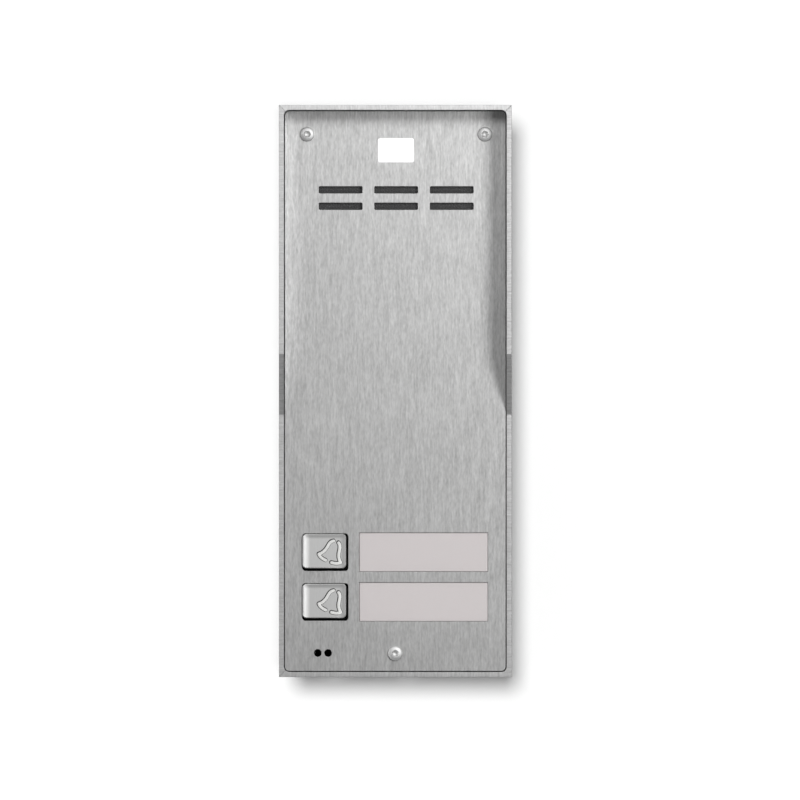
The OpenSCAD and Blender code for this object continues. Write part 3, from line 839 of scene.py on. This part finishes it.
@dataclass
class ScrewHead:
    """A button-head screw with a hexagon socket, in millimetres, with its seat at depth 0."""

    radius: float = 2.85
    rim: float = 1.2
    height: float = 1.65
    crown_radius: float = 1.6
    edge_lean_deg: float = 22.0
    socket_across: float = 2.0
    socket_depth: float = 1.05
    chamfer: float = 0.35
    shank_radius: float = 1.5
    shank: float = 9.9
    sides: int = 48

    def circle(self, radius: float, depth: float) -> Ring:
        """A ring of the head at a depth."""
        return at_depth(circle(radius, self.sides), depth)

    def hexagon(self, grow: float, depth: float) -> Ring:
        """A ring of the socket at a depth, grown by the given amount."""
        sixth = pi / 3
        outline = []
        for i in range(self.sides):
            angle = 2 * pi * i / self.sides
            radius = (self.socket_across / 2 + grow) / cos(angle % sixth - sixth / 2)
            outline.append((radius * cos(angle), radius * sin(angle)))
        return at_depth(outline, depth)

    def rings(self) -> list[Ring]:
        """The screw from its tip, over the head and down into the socket."""
        dome = []
        ball = self.radius / sin(radians(self.edge_lean_deg))
        for step in range(9):
            radius = self.radius - (self.radius - self.crown_radius) * step / 8
            drop = sqrt(ball**2 - self.crown_radius**2) - sqrt(ball**2 - radius**2)
            dome.append(self.circle(radius, self.height - drop))
        floor = self.height - self.socket_depth
        return [
            self.circle(self.shank_radius - 0.4, -self.shank),
            self.circle(self.shank_radius, -self.shank + 0.4),
            self.circle(self.shank_radius, 0.0),
            self.circle(self.radius - 0.1, 0.0),
            self.circle(self.radius, 0.1),
            self.circle(self.radius, self.rim - 0.1),
            *dome[1:],
            self.hexagon(self.chamfer, self.height),
            self.hexagon(0.0, self.height - self.chamfer),
            self.hexagon(0.0, floor + 0.05),
            self.hexagon(-0.06, floor),
            self.circle(0.1, floor - 0.18),
        ]


@dataclass
class Weave:
    """A plain weave in the upright plane: threads both ways, over and under each other."""

    pitch: float = 0.64
    wave: float = 0.09
    thick: float = 0.075
    wide: float = 0.22

    def threads(self, recipe: Recipe, across: bool, length: float, count: int) -> list[Socket]:
        """One family of threads, with every second one woven the other way round.

        Args:
            recipe: The tree to build in.
            across: True for threads along X, and False for threads along Z.
            length: The threads' length in millimetres.
            count: How many threads there are.

        Returns:
            The sockets with the family's two halves.
        """
        half, thick, wide = length * MM / 2, self.thick * MM, self.wide * MM
        if across:
            end, flat, turn, side = (half, 0, 0), (thick, wide, 1.0), (pi, 0, 0), "z"
        else:
            end, flat, turn, side = (0, 0, half), (wide, thick, 1.0), (0, 0, pi), "x"
        start = tuple(-place for place in end)
        line = recipe.step("CurvePrimitiveLine", {"Start": start, "End": end})
        steps = 2 * round(length / self.pitch) + 1
        points = recipe.step("ResampleCurve", {"Curve": line, "Count": steps})
        quarter = recipe.calc("MULTIPLY", recipe.step("InputIndex"), pi / 2)
        swing = recipe.calc("MULTIPLY", recipe.calc("COSINE", quarter), recipe.sizes["Wave"])
        bent = recipe.step("SetPosition", {"Geometry": points, "Offset": recipe.vector(y=swing)})
        ring = recipe.step("CurvePrimitiveCircle", {"Resolution": 4, "Radius": 1.0})
        thread = recipe.tube(bent, recipe.step("Transform", {"Geometry": ring, "Scale": flat}))
        halves = []
        pitch = recipe.sizes["Pitch"]
        offset = recipe.vector(**{side: recipe.calc("MULTIPLY", pitch, 2.0)})
        for odd, shape in enumerate((thread, recipe.moved(thread, turn=turn))):
            first = recipe.vector(**{side: recipe.calc("MULTIPLY", pitch, odd - (count - 1) / 2)})
            places = {"Count": (count + 1 - odd) // 2, "Start Location": first, "Offset": offset}
            row = recipe.step("MeshLine", places)
            halves.append(recipe.step("InstanceOnPoints", {"Points": row, "Instance": shape}))
        return halves


@dataclass
class Faceplate:
    """The brushed front with its screws, its blank badge and the cloth behind its slots."""

    body: str = "panel"
    edge_mm: float = 0.14
    badge_size: Pair = (14.6, 9.8)
    badge_place: Pair = (0.25, 96.8)
    badge_radius: float = 0.9
    badge_height: float = 0.5
    badge_edge: float = 0.35
    screw_turn_deg: float = 14.0

    def build(self) -> None:
        """Makes everything that is fixed to the plate."""
        plate = softened("faceplate", "faceplate_brushed", Steel.PLATE.material(), self.edge_mm)
        mounted(plate, self.body, "faceplate_steel", "faceplate")
        self.screws()
        self.cloth()
        self.badge()

    def screws(self) -> None:
        """Sets a screw on each of its three seats, each turned its own way."""
        low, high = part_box("panel_screws")
        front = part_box("faceplate")[0].y
        reach = ScrewHead.radius * MM
        seats = [
            Vector((low.x + reach, front, high.z - reach)),
            Vector((high.x - reach, front, high.z - reach)),
            Vector((0.0, front, low.z + reach)),
        ]
        template = lofted("screw_template", ScrewHead().rings(), Steel.SCREW.material())
        recipe = Recipe("panel_screw_set")
        screw = recipe.size("Screw", template, "Object")
        turn = recipe.size("Turn", radians(self.screw_turn_deg))
        shape = recipe.add("GeometryNodeObjectInfo", {"Object": screw}).outputs["Geometry"]
        angle = recipe.vector(y=recipe.calc("MULTIPLY", recipe.step("InputIndex"), turn))
        inputs = {"Points": recipe.start.outputs[0], "Instance": shape, "Rotation": angle}
        piece = recipe.bake(recipe.step("InstanceOnPoints", inputs), Steel.SCREW.material(), seats)
        bpy.data.objects.remove(template)
        mounted(piece, self.body, "screw_steel", "panel_screws")

    def cloth(self) -> None:
        """Weaves the cloth behind the slots."""
        low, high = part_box("grille_cloth")
        size = (high - low) / MM
        middle = (low + high) / 2
        weave = Weave()
        recipe = Recipe("woven_grille_cloth")
        recipe.size("Pitch", weave.pitch * MM)
        recipe.size("Wave", weave.wave * MM)
        crossings = [int(size.x / weave.pitch) - 1, int(size.z / weave.pitch) - 1]
        upright = weave.threads(recipe, False, crossings[1] * weave.pitch, crossings[0])
        level = weave.threads(recipe, True, crossings[0] * weave.pitch, crossings[1])
        joined = recipe.add("GeometryNodeJoinGeometry")
        for threads in [*upright, *level]:
            recipe.tree.links.new(threads, joined.inputs[0])
        placed = recipe.moved(joined.outputs[0], shift=middle)
        piece = recipe.bake(placed, SLOT_FINISHES["grille_fabric"].material())
        mounted(piece, self.body, "grille_fabric", "grille_cloth")

    def badge(self) -> None:
        """A blank enamel plate, with a rolled edge."""
        front = -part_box("faceplate")[0].y / MM
        width, height = self.badge_size
        rings = []
        for step in range(6):
            angle = radians(90 * step / 5)
            inset = self.badge_edge * (1 - cos(angle))
            depth = front + self.badge_height * (0.4 + 0.6 * sin(angle))
            outline = rounded(width - 2 * inset, height - 2 * inset, self.badge_radius, self.badge_place)
            rings.append(at_depth(outline, depth))
        base = at_depth(rounded(width, height, self.badge_radius, self.badge_place), front - 0.02)
        piece = lofted("blank_badge", [base, *rings], PaintedGlowEnamel("white_enamel").material())
        mounted(piece, self.body, "white_plastic")


@dataclass(frozen=True)
class Slope:
    """One sloping edge of a pressed face: it falls along a way in from its upper end."""

    inward: Vector
    start: float
    width: float
    share: float

    def near(self, place: Vector) -> float:
        """1 at the slope's upper end and beyond it, and 0 at its foot."""
        return min(1.0, max(0.0, 1.0 - (place.dot(self.inward) - self.start) / self.width))


@dataclass
class CallButton:
    """One call button: its steel cap, its lit bell, its seal and its spring."""

    row: str
    shift: Pair = (0.35, -0.45)
    aperture: Pair = (18.5, 15.1)
    aperture_radius: float = 1.3
    cap: Pair = (17.5, 13.8)
    cap_radius: float = 1.5
    seal_gap: float = 0.06
    seal_height: float = 0.35
    spring_radius: float = 5.0
    spring_wire: float = 0.25
    spring_turns: float = 5.0
    travel: float = 1.2
    round_edge: float = 0.5
    hollow_depth: float = 0.3
    left_slope: Pair = (2.6, 1.0)
    right_slope: Pair = (2.2, 0.5)
    top_slope: Pair = (1.5, 0.35)
    hollow_steps: int = 6
    face_thickness: float = 0.6
    face_lean: float = 0.95
    shading_step: float = 0.02

    @property
    def body(self) -> str:
        """The body that the button's pieces ride on."""
        return f"{self.row}_call_button"

    def build(self) -> None:
        """Makes the button's pieces."""
        for node, name, slot in (
            ("call_button", "button_cap", "button_steel"),
            ("bell_insert", "lit_bell", "opal_acrylic"),
        ):
            form = copied(f"{node}_{self.row}")
            self.hollow(form)
            material = SLOT_FINISHES[slot].material()
            piece = finished(form, f"{name}_{self.row}", material, SHARP_DEG)
            self.shade(piece.data)
            mounted(piece, self.body, slot, f"{node}_{self.row}")
        self.seal()
        self.spring()

    def slopes(self) -> list[Slope]:
        """Where the face slopes down from its edges."""
        low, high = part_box(f"call_button_{self.row}")
        middle = (low + high) / 2
        half_width = (self.cap[0] / 2 - self.round_edge) * MM
        half_height = (self.cap[1] / 2 - self.round_edge) * MM
        sides = (
            (Vector((1.0, 0.0, 0.0)), middle.x - half_width, self.left_slope),
            (Vector((-1.0, 0.0, 0.0)), -middle.x - half_width, self.right_slope),
            (Vector((0.0, 0.0, -1.0)), -middle.z - half_height, self.top_slope),
        )
        return [Slope(way, start, width * MM, share) for way, start, (width, share) in sides]

    def sunk(self, place: Vector, slopes: Sequence[Slope]) -> float:
        """How far the face lies below its highest edge, as a share of the full depth."""
        share = 1.0
        for slope in slopes:
            share *= 1.0 - slope.share * slope.near(place) ** 2
        return share

    def hollow(self, form: Form) -> None:
        """Presses the face in: it slopes down from its left, right and top edges.

        Args:
            form: The cap or its insert, which is cut along the slopes and then bent.
        """
        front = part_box(f"call_button_{self.row}")[0].y
        slopes = self.slopes()
        for slope in slopes:
            for step in range(self.hollow_steps + 1):
                point = slope.inward * (slope.start + slope.width * step / self.hollow_steps)
                whole = [*form.verts, *form.edges, *form.faces]
                bmesh.ops.bisect_plane(form, geom=whole, plane_co=point, plane_no=slope.inward, dist=1e-7)
        bmesh.ops.triangulate(form, faces=form.faces)
        for vert in form.verts:
            if vert.co.y < front + self.face_thickness * MM:
                vert.co.y += self.hollow_depth * MM * self.sunk(vert.co, slopes)

    def shade(self, mesh: bpy.types.Mesh) -> None:
        """Shades the pressed face as one smooth surface.

        Args:
            mesh: The mesh of the cap or of its insert.
        """
        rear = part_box(f"call_button_{self.row}")[0].y + self.face_thickness * MM
        depth, slopes, reach = self.hollow_depth * MM, self.slopes(), self.shading_step * MM
        normals = [corner.vector.copy() for corner in mesh.corner_normals]
        for face in mesh.polygons:
            if face.normal.y < -self.face_lean and face.center.y < rear:
                for loop in face.loop_indices:
                    place = mesh.vertices[mesh.loops[loop].vertex_index].co
                    rise = []
                    for step in (Vector((reach, 0.0, 0.0)), Vector((0.0, 0.0, reach))):
                        change = self.sunk(place + step, slopes) - self.sunk(place - step, slopes)
                        rise.append(depth * change / (2 * reach))
                    normals[loop] = Vector((rise[0], -1.0, rise[1])).normalized()
        mesh.normals_split_custom_set(normals)

    def seal(self) -> None:
        """A thin rubber seal that fills the gap between the cap and the aperture; its near-black foam also
        paints the gap's shade.
        """
        low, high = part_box(f"call_button_{self.row}")
        middle = (low + high) / 2 / MM
        rear = -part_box("faceplate")[1].y / MM - 0.05
        centre = (middle.x, middle.z)
        hole = (middle.x + self.shift[0], middle.z + self.shift[1])
        gap = 2 * self.seal_gap
        width, height = self.aperture
        outer = rounded(width - gap, height - gap, self.aperture_radius - self.seal_gap, hole)
        inner = rounded(self.cap[0] - 0.1, self.cap[1] - 0.1, self.cap_radius, centre)
        middle_line = [((a[0] + b[0]) / 2, (a[1] + b[1]) / 2) for a, b in zip(outer, inner)]
        rings = [
            at_depth(outer, rear),
            at_depth(outer, rear + 0.6 * self.seal_height),
            at_depth(middle_line, rear + self.seal_height),
            at_depth(inner, rear + 0.6 * self.seal_height),
            at_depth(inner, rear),
        ]
        piece = lofted(f"button_seal_{self.row}", rings, GAP_SHADE_FOAM.material(), looped=True)
        mounted(piece, self.body, "black_rubber")

    def spring(self) -> None:
        """Winds the return spring."""
        node = f"button_spring_{self.row}"
        low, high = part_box(node)
        middle = (low + high) / 2
        wire = self.spring_wire * MM
        recipe = Recipe(f"coil_spring_{self.row}")
        turns = recipe.size("Turns", self.spring_turns)
        radius = recipe.size("Radius", self.spring_radius * MM)
        height = recipe.size("Height", high.y - low.y - 2.2 * wire)
        shape = {"Resolution": 40, "Rotations": turns, "Start Radius": radius, "End Radius": radius}
        spiral = recipe.step("CurveSpiral", {**shape, "Height": height})
        ring = {"Resolution": 10, "Radius": recipe.size("Wire", wire)}
        coil = recipe.tube(spiral, recipe.step("CurvePrimitiveCircle", ring))
        place = Vector((middle.x, high.y - 1.1 * wire, middle.z))
        placed = recipe.moved(coil, shift=place, turn=(pi / 2, 0, 0))
        piece = recipe.bake(placed, SLOT_FINISHES["spring_wire"].material())
        piece.data.shade_smooth()
        mounted(piece, self.body, "spring_wire", node)
        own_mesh(piece)


@dataclass
class NameWindow:
    """One name window: a frosted lens over its card."""

    row: str
    body: str = "panel"
    edge_mm: float = 0.2

    def build(self) -> None:
        """Eases the lens's edges."""
        node = f"window_lens_{self.row}"
        lens = SLOT_FINISHES["frosted_lens"].material()
        piece = softened(node, f"name_window_{self.row}", lens, self.edge_mm)
        mounted(piece, self.body, "frosted_lens", node)


@dataclass
class Microphone:
    """The felt disc that keeps dust off the microphone, behind its two holes; its near-black foam also
    paints the shade inside the holes.
    """

    body: str = "panel"
    sides: int = 32
    profile: tuple[Pair, ...] = (
        (2.9, 0.0),
        (2.98, 0.2),
        (2.9, 0.4),
        (2.4, 0.6),
        (1.0, 0.7),
        (0.2, 0.7),
    )

    def build(self) -> None:
        """Lays the felt on the capsule."""
        low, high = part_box("microphone_capsule")
        middle = (low + high) / 2 / MM
        rings = [
            at_depth(circle(radius, self.sides, (middle.x, middle.z)), rise - low.y / MM)
            for radius, rise in self.profile
        ]
        mounted(lofted("microphone_felt", rings, GAP_SHADE_FOAM.material()), self.body, "black_rubber")


@dataclass
class Carried:
    """The CAD nodes whose shape is right, and which only need their finish."""

    nodes: dict[str, Piece]
    record: dict[str, Any]

    def build(self) -> None:
        """Gives each node the finish of its material slot."""
        for part in self.record["subparts"]:
            node = self.nodes[part["node"]]
            material = SLOT_FINISHES[part["material_slot"]].material()
            for slot in node.material_slots:
                slot.material = material
            LOG.info("%s is finished in %s", node.name, material.name)


# ---- Studio ----


@dataclass
class Surroundings:
    """How bright the room is towards each side, all round (haze), and behind for the camera."""

    left: float = 1.55
    right: float = 0.2
    front: float = 0.01
    rear: float = 0.45
    above: float = 0.65
    below: float = 0.45
    haze: float = 0.06
    backdrop: float = 1.0

    def build(self) -> None:
        """Makes the world: a soft room for the reflections, and white for the camera."""
        world = bpy.data.worlds.new("studio_room")
        world.use_nodes = True
        wiring = Wiring(world.node_tree)
        way = wiring.split(wiring.add("ShaderNodeTexCoord").outputs["Generated"])
        pairs = ((self.right, self.left), (self.rear, self.front), (self.above, self.below))
        parts = []
        for axis, (plus, minus) in enumerate(pairs):
            for sign, level in ((1.0, plus), (-1.0, minus)):
                facing = wiring.calc("MAXIMUM", wiring.calc("MULTIPLY", way[axis], sign), 0.0)
                share = wiring.calc("POWER", facing, 4.0)
                parts.append(wiring.calc("MULTIPLY", share, level))
        strength = wiring.calc("ADD", wiring.total(parts), self.haze)
        room = wiring.add("ShaderNodeBackground", {"Strength": strength})
        plain = wiring.add("ShaderNodeBackground", {"Strength": self.backdrop})
        for node in (room, plain):
            node.inputs["Color"].default_value = (1.0, 1.0, 1.0, 1.0)
        camera_ray = wiring.add("ShaderNodeLightPath").outputs["Is Camera Ray"]
        mixed = wiring.add(
            "ShaderNodeMixShader", {0: camera_ray, 1: room.outputs[0], 2: plain.outputs[0]}
        )
        wiring.add("ShaderNodeOutputWorld", {"Surface": mixed.outputs[0]})
        bpy.context.scene.world = world


@dataclass
class SoftLamp:
    """A round studio lamp, placed by the direction that it shines from."""

    name: str
    right_deg: float
    up_deg: float
    distance: float
    apparent_deg: float
    power: float
    aim: Size3 = (0.0, 0.0, 0.0)

    def build(self) -> Piece:
        """Makes the lamp.

        Returns:
            The lamp's object.
        """
        side, up = radians(self.right_deg), radians(self.up_deg)
        way = Vector((tan(side), -1.0, tan(up))).normalized()
        light = bpy.data.lights.new(self.name, "AREA")
        light.shape = "DISK"
        light.size = 2 * self.distance * tan(radians(self.apparent_deg / 2))
        light.energy = self.power
        lamp = linked(bpy.data.objects.new(self.name, light))
        lamp.location = Vector(self.aim) + way * self.distance
        lamp.rotation_euler = way.to_track_quat("Z", "Y").to_euler()
        lamp.visible_camera = False
        return lamp


@dataclass
class Studio:
    """The wall and floor round the panel, the lamps and the camera."""

    floor_z: float = -0.30
    wall_top: float = 1.3
    cove: float = 0.16
    reach: float = 1.6
    depth: float = 2.2
    wall_y: float = 0.0005
    lap: float = 0.002
    paint: float = 0.3
    view_width: float = 0.32168
    view_centre: Pair = (0.00191, -0.0036)
    lamp_aim: Size3 = (0.0, -0.028, 0.07)
    shade_piece: str = "faceplate_brushed"

    def build(self) -> None:
        """Makes the whole studio."""
        wall = self.backdrop()
        for lamp in (
            SoftLamp("upper_lamp", 0.0, 17.3, 1.1, 14.0, 1.88, self.lamp_aim),
            SoftLamp("right_lamp", 24.3, 0.0, 1.1, 18.0, 2.02, self.lamp_aim),
            SoftLamp("corner_lamp", 24.3, 17.3, 1.1, 15.0, 1.47, self.lamp_aim),
        ):
            self.share(lamp.build(), wall, False)
        shade = bpy.data.collections.new("wall_lamp_shade")
        shade.objects.link(bpy.data.objects[self.shade_piece])
        for lamp in (
            SoftLamp("wall_lamp", -9.2, 12.2, 4.0, 21.0, 436.0),
            SoftLamp("wall_fill_lamp", 6.5, -3.0, 4.0, 14.0, 80.0),
        ):
            wash = lamp.build()
            self.share(wash, wall, True)
            wash.light_linking.blocker_collection = shade
        Surroundings().build()
        self.camera()

    def backdrop(self) -> Piece:
        """A wall that runs down into the floor in one sweep, open behind the panel.

        Returns:
            The backdrop, which is seen from its front only.
        """
        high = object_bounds()[1]
        hole_x, hole_z = high.x - self.lap, high.z - self.lap
        columns = [-self.reach, -hole_x, hole_x, self.reach]
        profile = [(self.wall_y, self.wall_top), (self.wall_y, hole_z), (self.wall_y, -hole_z)]
        for step in range(13):
            angle = radians(90 * step / 12)
            y = self.wall_y - self.cove * (1 - cos(angle))
            z = self.floor_z + self.cove * (1 - sin(angle))
            profile.append((y, z))
        profile.append((-self.depth, self.floor_z))
        form = bmesh.new()
        rows = [[form.verts.new((x, y, z)) for x in columns] for y, z in profile]
        for i, (upper, lower) in enumerate(zip(rows, rows[1:])):
            for j in range(3):
                if (i, j) != (1, 1):
                    form.faces.new((upper[j], lower[j], lower[j + 1], upper[j + 1]))
        wall = finished(form, "studio_backdrop", self.paper())
        wall.visible_glossy = False
        wall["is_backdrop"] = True
        return wall

    def paper(self) -> Material:
        """Matt paper that is clear when it is seen from behind."""
        shader = Shader("backdrop_paper")
        shader.tree.nodes.remove(shader.surface)
        tone = (self.paint,) * 3
        matt = shader.add("ShaderNodeBsdfDiffuse", {"Color": (*tone, 1.0)})
        clear = shader.add("ShaderNodeBsdfTransparent")
        behind = shader.add("ShaderNodeNewGeometry").outputs["Backfacing"]
        mixed = shader.add("ShaderNodeMixShader", {0: behind, 1: matt.outputs[0], 2: clear.outputs[0]})
        shader.feed(shader.output.inputs["Surface"], mixed.outputs[0])
        return shader.material

    def share(self, lamp: Piece, wall: Piece, only: bool) -> None:
        """Lets a lamp light the backdrop only, or everything but the backdrop."""
        group = bpy.data.collections.new(lamp.name + "_lights")
        group.objects.link(wall)
        lamp.light_linking.receiver_collection = group
        state = "INCLUDE" if only else "EXCLUDE"
        group.collection_objects[0].light_linking.link_state = state

    def camera(self) -> None:
        """Looks straight at the front, without perspective, as the photograph does."""
        lens = bpy.data.cameras.new("photo_camera")
        lens.type = "ORTHO"
        lens.ortho_scale = self.view_width
        eye = linked(bpy.data.objects.new("photo_camera", lens))
        eye.location = (self.view_centre[0], -0.6, self.view_centre[1])
        eye.rotation_euler = (pi / 2, 0.0, 0.0)
        scene = bpy.context.scene
        scene.camera = eye
        scene.view_settings.view_transform = "Standard"


def main() -> None:
    """Builds every sub-assembly in order, then the studio."""
    logging.basicConfig(level=logging.INFO, format="%(message)s")
    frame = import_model()
    Carried(frame["nodes"], frame["record"]).build()
    Housing().build()
    Faceplate().build()
    for row in ("upper", "lower"):
        CallButton(row).build()
        NameWindow(row).build()
    Microphone().build()
    Studio().build()


if __name__ == "__main__":
    main()
